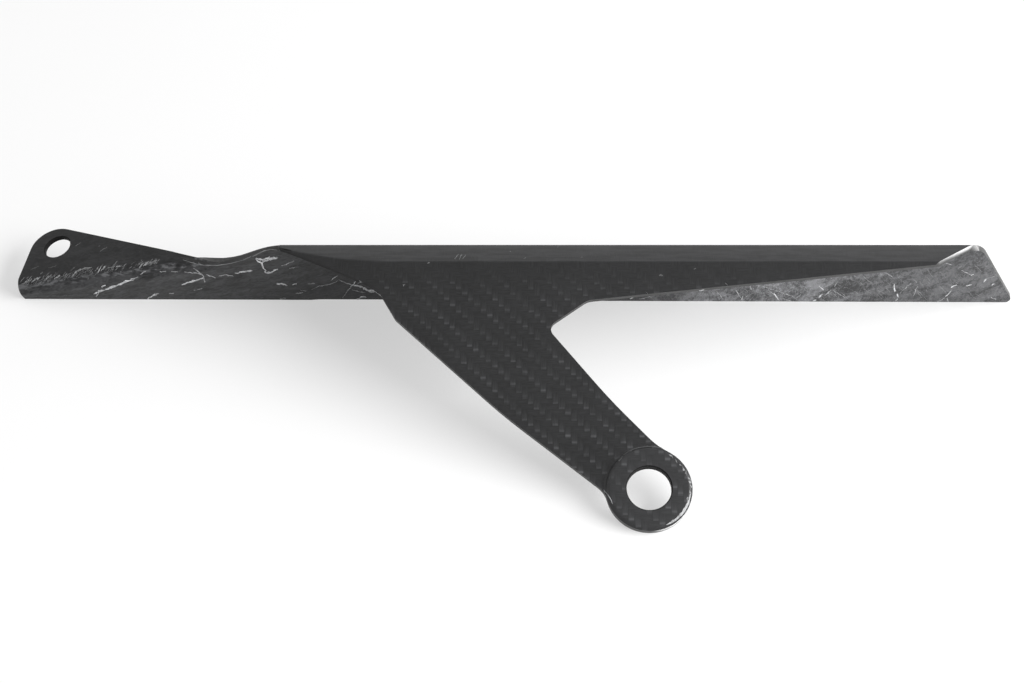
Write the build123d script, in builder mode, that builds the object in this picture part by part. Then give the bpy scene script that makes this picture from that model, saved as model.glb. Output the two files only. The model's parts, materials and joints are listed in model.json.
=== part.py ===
from build123d import *
import os
from math import acos, atan2, cos, degrees, radians, sin, sqrt, tan

# Motorcycle chain guard: one thin laminate shell, moulded in one piece.
# A flat outer wall carries a slanted arm that ends in a raised ring. A bevel along the top turns
# the wall into a flange that reaches inboard over the chain, and an ear at the front stands up
# from the flange and carries the front mounting hole.
# +X runs to the rear, +Y inboard and +Z up. The origin is on the axis of the arm's bore, in the
# plane of the outer wall's outer face. Lengths are millimetres, angles are degrees.

# Laminate
LAMINATE = 2.0

# Section of wall, bevel and flange
CREASE_HEIGHT = 79.2  # crease between wall and bevel, above the arm's bore
BEVEL_WIDTH = 11.4
BEVEL_LEAN = 35.0  # from the vertical, inboard
FLANGE_WIDTH = 40.8  # fold to far edge, at the rear
FLANGE_FRONT_WIDTH = 38.4  # the same at the front end
FLANGE_FALL = 6.0  # below the horizontal, inboard
CREASE_RADIUS = 1.6
FOLD_RADIUS = 3.2

# Outer wall, which is straight and then curls inboard towards the front
CURL_START = 83.4  # ahead of the bore
CURL_RADIUS = 165.0
TIP_FLAT = 0.6  # flat of the bevel left where the curled wall runs out
TIP_EDGE = 1.2  # start of the flange's trimmed edge there, in from the fold
TIP_SLOPE = 8.0  # of that edge, from the length
SHOULDER_RADIUS = 12.0
HEEL_DEPTH = 20.5  # arm's heel, below the crease
HEEL_RISE = 12.6  # length of the edge from the heel up to the shoulder
HEEL_SLOPE = 60.4
HEEL_RADIUS = 3.0
TAPER_SLOPE = 6.2  # lower edge of the wall, behind the arm
TAPER_DEPTH = 1.0  # depth of wall left at the rear
TAPER_RADIUS = 6.0

# Arm and its ring
ARM_FRONT_INSET = 4.5  # front edge, inside the ring's outline
ARM_FRONT_SLOPE = 38.6
ARM_FRONT_REACH = 52.5  # up the front edge to its bend
ARM_REAR_INSET = 1.85  # rear edge, inside the ring's outline
ARM_REAR_SLOPE = 46.5
ARM_REAR_REACH = 30.0  # up the rear edge to its bend
ARM_BEND = 4.3  # how much steeper both edges are above their bends
ARM_BEND_RADIUS = 200.0
NOTCH_LENGTH = 16.7  # upper edge of the notch behind the arm
NOTCH_SLOPE = 35.5
NOTCH_RADIUS = 3.0
NECK_FRONT_RADIUS = 8.0
NECK_REAR_RADIUS = 30.0
RING_DIAMETER = 28.1
RING_RISE = 1.6  # proud of the arm's outer face
RING_EDGE_RADIUS = 1.5
RING_FOOT_RADIUS = 2.0  # where the ring's flank runs out into the arm
RING_BORE = 14.6
BORE_BREAK = 0.3

# Rear end
REAR_REACH = 98.9  # bore to the end of the crease
BEVEL_RAKE = 39.5  # of the bevel's cut, from the crease
FLANGE_RAKE = 25.0  # of the flange's cut, from square
REAR_FLARE = 3.2  # how far the bevel's cut runs on over the fold
REAR_FLARE_RADIUS = 8.0
REAR_CORNER_RADIUS = 3.0

# Shallow relief in the flange's far edge, above the arm
RELIEF_START = 122.0  # ahead of the bore
RELIEF_LENGTH = 62.0
RELIEF_RAMP = 10.0
RELIEF_DEPTH = 1.4
RELIEF_RADIUS = 20.0

# Front end
DIP_LENGTH = 17.2  # from the tip of the wall to the end of the ridge
FRONT_LIP = 3.2  # flat flange left beside the ridge at the front end
FRONT_CORNER_RADIUS = 2.6
RIDGE_ANGLE = 15.4  # ridge in plan, from the length

# Ear
EAR_TURN = 104.0  # flange to ear
EAR_BEND_RADIUS = 4.0  # outside of the bend
EAR_HEIGHT = 25.8  # of the sharp front top corner
EAR_BACK_HEIGHT = 3.1  # where the full bend ends
EAR_FRONT_LEAN = 7.1
EAR_CORNER_RADIUS = 9.1
EAR_LENGTH = 58.0  # full bend, from the front end
WASH_OUT = 22.0  # behind that, the bend opens out flat
WASH_WIDTH = 4.1  # flange left outside the ridge where the bend ends
WASH_TURN = 2.0  # left of the bend there
WASH_STEPS = 4
EAR_BORE = 9.6
EAR_BORE_BACK = 12.1  # from the front end
EAR_BORE_DOWN = 12.6  # from the sharp front top corner

# Allowances for cutting right through
OVERLAP = 3.0
CLEAR = 20.0


def slope(angle, length=1.0):
    """A step of the given length, rising at an angle from the length."""
    return Vector(length * cos(radians(angle)), length * sin(radians(angle)))


# Directions of the section
along = Vector(1, 0, 0)
bevel_run = Vector(0, sin(radians(BEVEL_LEAN)), cos(radians(BEVEL_LEAN)))
bevel_out = Vector(0, -cos(radians(BEVEL_LEAN)), sin(radians(BEVEL_LEAN)))
flange_run = Vector(0, cos(radians(FLANGE_FALL)), -sin(radians(FLANGE_FALL)))
flange_out = Vector(0, sin(radians(FLANGE_FALL)), cos(radians(FLANGE_FALL)))
crease_point = Vector(0, 0, CREASE_HEIGHT)
fold_point = crease_point + bevel_run * BEVEL_WIDTH

# Planes of the outer faces, with local x along the length and local y across the sheet
bevel_plane = Plane(crease_point, x_dir=along, z_dir=bevel_out)
flange_plane = Plane(fold_point, x_dir=along, z_dir=flange_out)
fold_mitre = Plane(fold_point, x_dir=along, z_dir=bevel_run + flange_run)

# The tip, where the curl has used up the bevel but for the rounding of its two edges
crease_rounding = CREASE_RADIUS * tan(radians(BEVEL_LEAN / 2))
fold_rounding = FOLD_RADIUS * tan(radians((90 - BEVEL_LEAN + FLANGE_FALL) / 2))
tip_across = BEVEL_WIDTH - crease_rounding - fold_rounding - TIP_FLAT
tip_depth = tip_across * bevel_run.Y
tip_x = -CURL_START - sqrt(CURL_RADIUS**2 - (CURL_RADIUS - tip_depth) ** 2)
tip_z = CREASE_HEIGHT + tip_across * bevel_run.Z

# Rear ends of the crease and of the fold
rear_fold_x = REAR_REACH + BEVEL_WIDTH / tan(radians(BEVEL_RAKE))
rear_limit = rear_fold_x + FLANGE_WIDTH + CLEAR

# Ridge of the ear: origin at the front end, on the flange's lower face
ridge_across = FLANGE_FRONT_WIDTH - FRONT_LIP
front_x = tip_x - DIP_LENGTH - (EAR_LENGTH + WASH_OUT) * cos(radians(RIDGE_ANGLE))
ridge_start = fold_point + along * front_x + flange_run * ridge_across - flange_out * LAMINATE
ridge_run = along * cos(radians(RIDGE_ANGLE)) - flange_run * sin(radians(RIDGE_ANGLE))
ridge_inboard = along * sin(radians(RIDGE_ANGLE)) + flange_run * cos(radians(RIDGE_ANGLE))
ridge_plane = Plane(ridge_start, x_dir=ridge_inboard, z_dir=ridge_run)

# Ear plane: its outer face, with local x along the ridge and local y up the ear
bend_end = 270 - EAR_TURN
ear_out = ridge_inboard * cos(radians(bend_end)) + flange_out * sin(radians(bend_end))
ear_start = ridge_start + flange_out * EAR_BEND_RADIUS + ear_out * EAR_BEND_RADIUS
ear_plane = Plane(ear_start, x_dir=ridge_run, z_dir=ear_out)


def section_block(inset, reach):
    """The space under the guard's outer faces, drawn in by inset, longer by reach at each open side."""
    wall_radius = CURL_RADIUS - inset
    curl_angle = degrees(atan2(-CURL_START - tip_x, CURL_RADIUS - tip_depth) + reach / CURL_RADIUS)
    base = -RING_DIAMETER - reach
    depth = fold_point.Y + FOLD_RADIUS + OVERLAP + reach
    top = fold_point.Z + CLEAR
    with BuildPart() as block:
        with BuildSketch(Plane.XY.offset(base)):
            with BuildLine():
                Line((rear_limit + reach, inset), (-CURL_START, inset))
                curl = CenterArc((-CURL_START, CURL_RADIUS), wall_radius, 270, -curl_angle)
                Polyline(
                    curl @ 1,
                    ((curl @ 1).X, depth),
                    (rear_limit + reach, depth),
                    (rear_limit + reach, inset),
                )
            make_face()
        extrude(amount=top - base)
        split(bisect_by=bevel_plane.offset(-inset), keep=Keep.BOTTOM)
        split(bisect_by=flange_plane.offset(-inset), keep=Keep.BOTTOM)
        bevel = block.faces().sort_by(lambda face: face.normal_at().dot(bevel_out))[-1]
        lengthwise = [edge for edge in bevel.edges() if abs((edge @ 1 - edge @ 0).X) > CLEAR]
        fold = max(lengthwise, key=lambda edge: edge.center().Z)
        crease = [edge for edge in lengthwise if edge is not fold]
        fillet(fold, radius=FOLD_RADIUS - inset)
        if CREASE_RADIUS > inset:
            fillet(crease, radius=CREASE_RADIUS - inset)
    return block.part


def nearest(vertices, point):
    """The one of a sketch's vertices that lies at a point."""
    return vertices.sort_by_distance(point)[0]


# Edges of the arm from the ring up to a slight bend in each, and the points where the ring cuts them
ring_radius = RING_DIAMETER / 2
front_offset = ring_radius - ARM_FRONT_INSET
rear_offset = ring_radius - ARM_REAR_INSET
arm_front_foot = slope(-90 - ARM_FRONT_SLOPE, front_offset)
arm_rear_foot = slope(90 - ARM_REAR_SLOPE, rear_offset)
neck_front = arm_front_foot + slope(180 - ARM_FRONT_SLOPE, sqrt(ring_radius**2 - front_offset**2))
neck_rear = arm_rear_foot + slope(180 - ARM_REAR_SLOPE, sqrt(ring_radius**2 - rear_offset**2))
front_bend = arm_front_foot + slope(180 - ARM_FRONT_SLOPE, ARM_FRONT_REACH)
rear_bend = arm_rear_foot + slope(180 - ARM_REAR_SLOPE, ARM_REAR_REACH)
heel_run = slope(180 - ARM_FRONT_SLOPE - ARM_BEND)
heel = front_bend + heel_run * ((CREASE_HEIGHT - HEEL_DEPTH - front_bend.Y) / heel_run.Y)
shoulder = heel + slope(180 - HEEL_SLOPE, HEEL_RISE)

# Lower edge of the wall behind the arm, and the notch, whose upper edge ends on it
taper_end = Vector(REAR_REACH, CREASE_HEIGHT - TAPER_DEPTH)
taper_up = slope(90 + TAPER_SLOPE)
notch_edge = slope(NOTCH_SLOPE, NOTCH_LENGTH)
notch_run = slope(180 - ARM_REAR_SLOPE - ARM_BEND)
notch_reach = (taper_end - rear_bend - notch_edge).dot(taper_up) / notch_run.dot(taper_up)
notch = rear_bend + notch_run * notch_reach
taper_start = notch + notch_edge

# Wall, bevel and the start of the flange, trimmed square to the outer wall
with BuildPart() as channel:
    add(section_block(0, 0))
    add(section_block(LAMINATE, OVERLAP), mode=Mode.SUBTRACT)
    with BuildSketch(Plane.XZ) as wall_outline:
        Polygon(
            (tip_x - OVERLAP, fold_point.Z + OVERLAP),
            (tip_x - OVERLAP, tip_z),
            (tip_x, tip_z),
            shoulder,
            heel,
            front_bend,
            arm_front_foot,
            arm_rear_foot,
            rear_bend,
            notch,
            taper_start,
            taper_end,
            (rear_limit + OVERLAP, taper_end.Y),
            (rear_limit + OVERLAP, fold_point.Z + OVERLAP),
            align=None,
        )
        Circle(ring_radius)
        for corner, radius in (
            (shoulder, SHOULDER_RADIUS),
            (heel, HEEL_RADIUS),
            (front_bend, ARM_BEND_RADIUS),
            (neck_front, NECK_FRONT_RADIUS),
            (neck_rear, NECK_REAR_RADIUS),
            (rear_bend, ARM_BEND_RADIUS),
            (notch, NOTCH_RADIUS),
            (taper_start, TAPER_RADIUS),
        ):
            fillet(nearest(wall_outline.vertices(), corner), radius)
    extrude(amount=CLEAR, both=True, mode=Mode.INTERSECT)

# Raised ring at the end of the arm, with a soft flank that is trimmed off along the wall's outline
flank_angle = degrees(acos(1 - RING_RISE / (RING_EDGE_RADIUS + RING_FOOT_RADIUS)))
ring_face = ring_radius - RING_EDGE_RADIUS
ring_foot = ring_face + (RING_EDGE_RADIUS + RING_FOOT_RADIUS) * sin(radians(flank_angle))
with BuildPart() as ring:
    with BuildSketch(Plane.XY):
        with BuildLine():
            edge_centre = (ring_face, RING_EDGE_RADIUS - RING_RISE)
            edge_arc = CenterArc(edge_centre, RING_EDGE_RADIUS, 270, flank_angle)
            foot_arc = CenterArc((ring_foot, -RING_FOOT_RADIUS), RING_FOOT_RADIUS, 90, flank_angle)
            Polyline(foot_arc @ 0, (ring_foot, LAMINATE), (0, LAMINATE), (0, -RING_RISE), edge_arc @ 0)
        make_face()
    revolve(axis=Axis.Y)
    add(wall_outline.sketch)
    extrude(amount=CLEAR, dir=(0, 1, 0), both=True, mode=Mode.INTERSECT)

# Flat of the flange, trimmed back in a dip between the tip and the ear
bevel_rake_run = 1 / tan(radians(BEVEL_RAKE))
flange_rake_run = tan(radians(FLANGE_RAKE))
flare = Vector(rear_fold_x + REAR_FLARE * bevel_rake_run, REAR_FLARE)
rear_corner = flare + Vector(flange_rake_run, 1) * (FLANGE_WIDTH - REAR_FLARE)
ridge_front = Vector(front_x, ridge_across)
ridge_back = ridge_front + slope(-RIDGE_ANGLE, EAR_LENGTH + WASH_OUT)
front_corner = ridge_front + slope(90 - RIDGE_ANGLE, FRONT_LIP / cos(radians(RIDGE_ANGLE)))
dip = ridge_back + slope(-90 - RIDGE_ANGLE, WASH_WIDTH)

# Corners of the relief, which lie on or under the straight line of the far edge
far_rise = (rear_corner.Y - front_corner.Y) / (rear_corner.X - front_corner.X)
relief = [
    Vector(x, front_corner.Y + (x - front_corner.X) * far_rise - depth)
    for x, depth in (
        (-RELIEF_START, 0),
        (-RELIEF_START + RELIEF_RAMP, RELIEF_DEPTH),
        (-RELIEF_START + RELIEF_LENGTH - RELIEF_RAMP, RELIEF_DEPTH),
        (-RELIEF_START + RELIEF_LENGTH, 0),
    )
]
with BuildPart() as flange:
    with BuildSketch(flange_plane) as flange_outline:
        with BuildLine():
            near_edge = Line((rear_limit, FOLD_RADIUS), (tip_x, FOLD_RADIUS))
            tip_edge = Line(near_edge @ 1, (tip_x, TIP_EDGE))
            Spline(tip_edge @ 1, dip, tangents=(slope(180 - TIP_SLOPE), slope(180 - RIDGE_ANGLE)))
            Polyline(
                dip,
                ridge_back,
                ridge_front,
                front_corner,
                *relief,
                rear_corner,
                (rear_limit, FLANGE_WIDTH),
                (rear_limit, FOLD_RADIUS),
            )
        make_face()
        fillet(nearest(flange_outline.vertices(), front_corner), FRONT_CORNER_RADIUS)
        for corner in relief:
            fillet(nearest(flange_outline.vertices(), corner), RELIEF_RADIUS)
    extrude(amount=-LAMINATE)


def bend_section(distance, turn, radius, leg):
    """Section across the ridge: a little of the flange, the bend, and a straight leg beyond it."""
    with BuildSketch(ridge_plane.offset(distance)) as section:
        with BuildLine():
            outer = CenterArc((0, radius), radius, 270, -turn)
            inner = CenterArc((0, radius), radius - LAMINATE, 270, -turn)
            rise = slope(180 - turn, leg)
            Polyline(outer @ 1, outer @ 1 + rise, inner @ 1 + rise, inner @ 1)
            Polyline(outer @ 0, outer @ 0 + (OVERLAP, 0), inner @ 0 + (OVERLAP, 0), inner @ 0)
        make_face()
    return section.sketch


# Ear: the flange turned up over the slanting ridge, cut to its outline
ear_front = Vector(EAR_HEIGHT * tan(radians(EAR_FRONT_LEAN)), EAR_HEIGHT)
with BuildPart() as ear:
    add(bend_section(0, EAR_TURN, EAR_BEND_RADIUS, EAR_HEIGHT + CLEAR))
    extrude(amount=EAR_LENGTH, dir=ridge_run)
    with BuildSketch(ear_plane) as ear_outline:
        Polygon(
            (0, -CLEAR),
            (0, 0),
            ear_front,
            (EAR_LENGTH, EAR_BACK_HEIGHT),
            (EAR_LENGTH, -CLEAR),
            align=None,
        )
        fillet(nearest(ear_outline.vertices(), ear_front), EAR_CORNER_RADIUS)
    extrude(amount=CLEAR, both=True, mode=Mode.INTERSECT)

# Behind the ear the bend opens out and its free edge comes down to the flat of the flange
bend_length = EAR_BEND_RADIUS * radians(EAR_TURN)
free_width = bend_length + EAR_BACK_HEIGHT
with BuildPart() as wash_out:
    for step in range(WASH_STEPS + 1):
        share = step / WASH_STEPS
        turn = EAR_TURN + (WASH_TURN - EAR_TURN) * share**2 * (3 - 2 * share)
        width = WASH_WIDTH + (free_width - WASH_WIDTH) * (1 - share) ** 2
        bend_width = width * bend_length / free_width
        distance = EAR_LENGTH + WASH_OUT * share
        add(bend_section(distance, turn, bend_width / radians(turn), width - bend_width))
    loft()

# Cuts across the bevel and the flange at the rear, each square to its own sheet
with BuildPart() as bevel_cut:
    with BuildSketch(bevel_plane):
        Polygon(
            (REAR_REACH - OVERLAP * bevel_rake_run, -OVERLAP),
            (rear_limit + CLEAR, -OVERLAP),
            (rear_limit + CLEAR, BEVEL_WIDTH + OVERLAP),
            (rear_fold_x + OVERLAP * bevel_rake_run, BEVEL_WIDTH + OVERLAP),
            align=None,
        )
    extrude(amount=LAMINATE + OVERLAP, both=True)
    split(bisect_by=fold_mitre, keep=Keep.BOTTOM)

with BuildPart() as flange_cut:
    with BuildSketch(flange_plane) as rear_outline:
        Polygon(
            (rear_fold_x - OVERLAP * bevel_rake_run, -OVERLAP),
            (rear_limit + CLEAR, -OVERLAP),
            (rear_limit + CLEAR, FLANGE_WIDTH + CLEAR),
            rear_corner + Vector(flange_rake_run, 1) * CLEAR,
            flare,
            align=None,
        )
        fillet(nearest(rear_outline.vertices(), flare), REAR_FLARE_RADIUS)
    extrude(amount=LAMINATE + OVERLAP, both=True)
    split(bisect_by=fold_mitre, keep=Keep.TOP)

with BuildPart() as chain_guard:
    add(channel.part)
    add(flange.part)
    add(ear.part)
    add(wash_out.part)
    add(bevel_cut.part, mode=Mode.SUBTRACT)
    add(flange_cut.part, mode=Mode.SUBTRACT)
    add(ring.part)
    with BuildSketch(Plane.XZ.offset(RING_RISE)):
        Circle(RING_BORE / 2)
    extrude(amount=-RING_RISE - LAMINATE, mode=Mode.SUBTRACT)
    chamfer(chain_guard.edges(Select.LAST).filter_by(GeomType.CIRCLE), BORE_BREAK)
    with BuildSketch(ear_plane):
        with Locations((EAR_BORE_BACK, EAR_HEIGHT - EAR_BORE_DOWN)):
            Circle(EAR_BORE / 2)
    extrude(amount=CLEAR, both=True, mode=Mode.SUBTRACT)
    chamfer(chain_guard.edges(Select.LAST).filter_by(GeomType.CIRCLE), BORE_BREAK)
    upright = chain_guard.edges().filter_by(Axis((0, 0, 0), flange_out))
    fillet(upright.sort_by(Axis.X)[-1], REAR_CORNER_RADIUS)

chain_guard.part.label = "chain_guard"
os.makedirs("parts", exist_ok=True)
export_step(chain_guard.part, "parts/chain_guard.step")
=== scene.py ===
import json
import random
from math import cos, floor, hypot, pi, radians, sin

import bmesh
import bpy
from mathutils import Matrix, Vector, noise
from mathutils.bvhtree import BVHTree
from mathutils.kdtree import KDTree


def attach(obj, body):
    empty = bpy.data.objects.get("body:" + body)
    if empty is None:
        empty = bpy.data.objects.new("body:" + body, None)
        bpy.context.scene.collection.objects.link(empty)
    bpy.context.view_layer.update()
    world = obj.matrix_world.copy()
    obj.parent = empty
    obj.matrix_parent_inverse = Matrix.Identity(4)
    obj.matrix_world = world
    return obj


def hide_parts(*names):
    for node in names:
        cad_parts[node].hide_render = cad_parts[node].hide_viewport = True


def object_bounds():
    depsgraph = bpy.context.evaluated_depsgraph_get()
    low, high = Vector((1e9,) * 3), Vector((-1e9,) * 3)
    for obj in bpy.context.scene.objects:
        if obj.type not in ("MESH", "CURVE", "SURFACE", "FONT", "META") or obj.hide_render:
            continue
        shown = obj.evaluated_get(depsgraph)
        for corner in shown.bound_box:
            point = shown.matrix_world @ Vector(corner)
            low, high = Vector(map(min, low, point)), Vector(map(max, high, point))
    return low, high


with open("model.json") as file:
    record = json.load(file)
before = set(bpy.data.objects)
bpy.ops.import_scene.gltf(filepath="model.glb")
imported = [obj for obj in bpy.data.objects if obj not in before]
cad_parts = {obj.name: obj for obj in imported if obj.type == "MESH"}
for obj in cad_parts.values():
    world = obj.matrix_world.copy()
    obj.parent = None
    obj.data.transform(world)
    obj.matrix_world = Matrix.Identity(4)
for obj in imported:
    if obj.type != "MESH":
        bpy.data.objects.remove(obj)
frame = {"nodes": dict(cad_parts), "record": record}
cad_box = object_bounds()

# Lengths are metres, in the part's own frame: +X to the rear, +Y inboard, +Z up.
MM = 0.001
ALONG = Vector((1, 0, 0))

# The photograph's camera, which looks up at the guard from below its level
IMAGE_WIDTH = 1024
IMAGE_HEIGHT = 683
AIM = Vector((-0.0442, 0, 0.05074))
VIEW_DISTANCE = 0.72
VIEW_RISE = radians(20)
LENS = 76.57
SENSOR = 36.0
CLIP_START = 0.01
VIEW_RUN = Vector((0, cos(VIEW_RISE), sin(VIEW_RISE)))
VIEW_UP = Vector((0, -sin(VIEW_RISE), cos(VIEW_RISE)))
EYE = AIM - VIEW_RUN * VIEW_DISTANCE
PIXEL = SENSOR / LENS / IMAGE_WIDTH

# The guard's section: wall, bevel and flange, as lines of the outer face
LAMINATE = 2.0 * MM
CREASE = Vector((0, 0, 79.2 * MM))
BEVEL_WIDTH = 11.4 * MM
BEVEL_LEAN = radians(35)
FLANGE_FALL = radians(6)
BEVEL_RUN = Vector((0, sin(BEVEL_LEAN), cos(BEVEL_LEAN)))
FLANGE_RUN = Vector((0, cos(FLANGE_FALL), -sin(FLANGE_FALL)))
FLANGE_OUT = Vector((0, sin(FLANGE_FALL), cos(FLANGE_FALL)))
FOLD = CREASE + BEVEL_RUN * BEVEL_WIDTH

# The tip in front of the arm, where the wall's outline runs up into the bevel
TIP_X = -123.0 * MM
TIP_REAR = -60.0 * MM
TIP_FOOT = 62.0 * MM

# The ridge that the ear is turned up over, on the flange's lower face
RIDGE_ANGLE = radians(15.4)
RIDGE_START = FOLD + ALONG * (-217.3 * MM) + FLANGE_RUN * (35.2 * MM) - FLANGE_OUT * LAMINATE
RIDGE_RUN = ALONG * cos(RIDGE_ANGLE) - FLANGE_RUN * sin(RIDGE_ANGLE)
RIDGE_OUTBOARD = -ALONG * sin(RIDGE_ANGLE) - FLANGE_RUN * cos(RIDGE_ANGLE)

# The table that the guard lies on, along the flange's far edge and under the ring
TABLE_OUT = Vector((0.007, -0.913, 0.408)).normalized()
TABLE_AWAY = (VIEW_UP - TABLE_OUT * VIEW_UP.dot(TABLE_OUT)).normalized()
TABLE_FOOT = Vector((0, LAMINATE, -14.05 * MM))
TABLE_HALF = 3.0
TABLE_WHITENESS = 0.5

# Soft boxes, placed right, away and out from the aim in table terms, and the sky as light and as seen
KEY_PLACE = (1.4, -0.4, 0.8)
KEY_SIZE = (1.6, 1.0)
KEY_POWER = 56.0
FILL_PLACE = (-1.6, 0.2, 0.9)
FILL_SIZE = (1.2, 0.8)
FILL_POWER = 2.0
SKY_FILL = 0.36
SKY_SEEN = 1.0

# Cloth: the spacing of its tows, and where its glints fade out on the way up the wall and over the flange
TOW = 2.0 * MM
FADE_START = 66.0 * MM
FADE_END = 100.0 * MM

# Finishes of the faces, and how they are told apart
MOULD, BAG, CUT, BORE = range(4)
SKIN = 0.01 * MM
SHEET_LIMIT = 4.0 * MM
OPPOSITE = -0.8
SHARP = radians(35)
MOULD_SIDE = Vector((0, -1, 1))
RING_FRONT = -0.02 * MM
RING_LEAN = -0.15
BORE_BREAK = 0.35 * MM
BORE_LEAN = -0.3

# Cut edges with a painted highlight where they face the rear: the ring's lower rear side and the bevel's
# rear end
RING_REACH = 18.0 * MM
RING_LIT_SIDE = Vector((0.75, 0, -0.66))
RING_LIT_SPAN = (0.7, 0.95)
REAR_LIT_SPAN = (0.35, 0.7)
BEVEL_SPAN = (CREASE.z - 1 * MM, CREASE.z + 3 * MM)
FLANGE_SPAN = (FOLD.y - 1 * MM, FOLD.y + 2 * MM)
CORNER_SPAN = (FOLD.z - 4 * MM, FOLD.z)
FLANGE_LOSS = 0.8
CORNER_LOSS = 0.5
INNER_LIT = 0.1

# Where the looks change, along the guard, up it or out from it, and how far the resin's marks are turned
REAR_PALE_SPAN = (-120.0 * MM, 120.0 * MM)
RING_SPAN = (-0.4 * MM, -1.5 * MM)
SHINE_SPAN = (0.0, 60.0 * MM)
UNDERSIDE_LIGHT_SPAN = (-90.0 * MM, -180.0 * MM)
BEND_GLINT_SPAN = (-130.0 * MM, -150.0 * MM)
MARBLE_SPAN = (-20.0 * MM, 42.0 * MM)
MARBLE_FADE = (50.0 * MM, 100.0 * MM)
RESIN_TURN = radians(28)
BEND_GLINT_TURN = radians(50)
MARBLE_TURN = radians(20)

# Mesh: the gap that joins points, the bend that counts as flat, and the spacing of the bag side's points
WELD = 0.001 * MM
FLAT = radians(0.5)
GRID = 1.25 * MM

# Wrinkles of the bag's side: how far in from its edges they grow, and the shape of pleats and ripples
WRINKLE_EDGE = 4.0 * MM
WRINKLE_DRAW = 0.6
WRINKLE_SLANT = 0.35
PLEAT_SPAN = 9.0 * MM
PLEAT_HEIGHT = 0.16 * MM
PLEAT_FRACTAL = (0.9, 2.1, 3, 1.0, 2.0)
RIPPLE_SPAN = 3.0 * MM
RIPPLE_HEIGHT = 0.1 * MM
RIPPLE_FRACTAL = (0.8, 2.0, 3)

# Creases and flaws of the resin, as paths of photograph points that are laid on the surface they hit
# The ear's bend creases are creases of the resin that also carry painted glints.
EAR_BEND_CREASES_AND_GLINTS = (
    ((22, 284), (30, 280)),
    ((31, 282), (36, 279), (41, 277)),
    ((34, 279), (40, 277.5)),
    ((46, 279), (51, 275)),
    ((54, 279), (60, 275)),
    ((72, 277), (76, 272), (80, 269)),
    ((78, 271), (85, 268), (92, 267.5)),
    ((97, 273), (101.5, 266)),
    ((101, 271), (105, 266)),
    ((108, 268), (113, 266.5)),
    ((116, 267), (120, 265.5)),
    ((139, 268), (143, 263)),
    ((143, 266), (150, 261)),
    ((149, 263), (158, 260)),
)
EAR_SCRATCHES = (
    ((30, 270), (39, 266)),
    ((48, 268), (56, 266)),
    ((100, 251.5), (107, 247)),
    ((75, 246), (81, 242.5)),
    ((98, 246.5), (100, 245.5)),
    ((25, 296.5), (60, 295.8), (92, 294.5)),
)
LEFT_SPLASHES = (
    ((94, 294), (99, 291), (104, 290)),
    ((99, 292), (110, 288), (121, 284), (126, 281.5)),
    ((117, 285), (124, 282.5)),
    ((121, 284), (128, 281), (133, 279.5)),
    ((102, 287), (104.5, 285.5)),
    ((147.5, 299.5), (152, 296), (158, 293.5)),
    ((182, 285), (190, 282), (203, 278)),
    ((235, 273.5), (242, 272), (252, 270.5)),
    ((256, 259.5), (260, 262), (263, 265)),
    ((261, 263), (268, 259.5), (277, 257)),
    ((256, 258.5), (263, 260), (270, 257)),
    ((266, 261), (272, 259), (277, 258)),
    ((262, 264), (264, 269), (266, 272.5), (271, 272.5), (277, 269.5)),
    ((277, 284), (282, 284), (287, 285.2)),
    ((293, 284.4), (296, 283.6)),
    ((351, 287), (357, 280)),
    ((353, 285), (362, 287), (368, 290.5), (374, 292)),
    ((366, 290), (374, 291)),
    ((357, 299), (362, 296.5), (366, 297)),
)
LEFT_LINES = (
    ((133, 279.5), (138, 276.5)),
    ((140, 274.5), (145.5, 271.5)),
    ((96, 296.5), (99, 292.5)),
    ((160, 271.5), (166, 271.5)),
    ((171, 271.5), (178, 272)),
    ((184, 272), (196, 273), (203, 275)),
    ((193, 268), (198, 271.5), (203, 275)),
    ((203, 275), (204, 279), (205, 282)),
    ((194, 290.5), (202, 288.5)),
    ((169, 293.5), (174, 293)),
    ((206, 275), (210, 275.5), (215, 277.5)),
    ((219, 276), (226, 275), (233, 276)),
    ((282, 266), (294, 261)),
    ((289, 268.5), (298, 267)),
    ((308, 283.7), (314.5, 283.5)),
    ((312, 289), (319, 286.5), (330, 284), (338, 281)),
    ((296, 293.5), (303, 292.5)),
    ((331, 280.5), (337, 276)),
    ((339, 280), (346, 283), (352, 285)),
    ((352, 286), (347, 291), (343, 298)),
    ((352, 290), (360, 292), (366, 292.5)),
    ((357, 279), (361, 282), (357, 284)),
    ((374, 291), (379, 294), (383.5, 298.5)),
    ((280, 299), (286, 298)),
    ((300, 290), (306, 291)),
)
WEDGE_CHIPS = (
    ((630, 299), (633.5, 297.5)),
    ((697.5, 291), (704, 290)),
    ((742, 299.5), (742.5, 296.5)),
    ((774, 293.5), (776.5, 297), (778.5, 299.5)),
    ((819, 286), (823.5, 290)),
    ((825, 295.5), (831, 290)),
    ((813, 301), (816, 300)),
    ((819, 297.5), (822.5, 294)),
    ((894, 284), (894.4, 288), (894.6, 292)),
    ((897, 294), (898, 297)),
    ((896, 300.5), (897.5, 299)),
    ((951, 287.5), (954, 286), (957, 285)),
    ((966.5, 286), (971.5, 284.5)),
    ((984, 282), (986, 279)),
    ((992, 285), (994, 284)),
    ((971, 275.5), (973.5, 274)),
    ((951, 291), (947.5, 295), (945.5, 296.5)),
)
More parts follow.
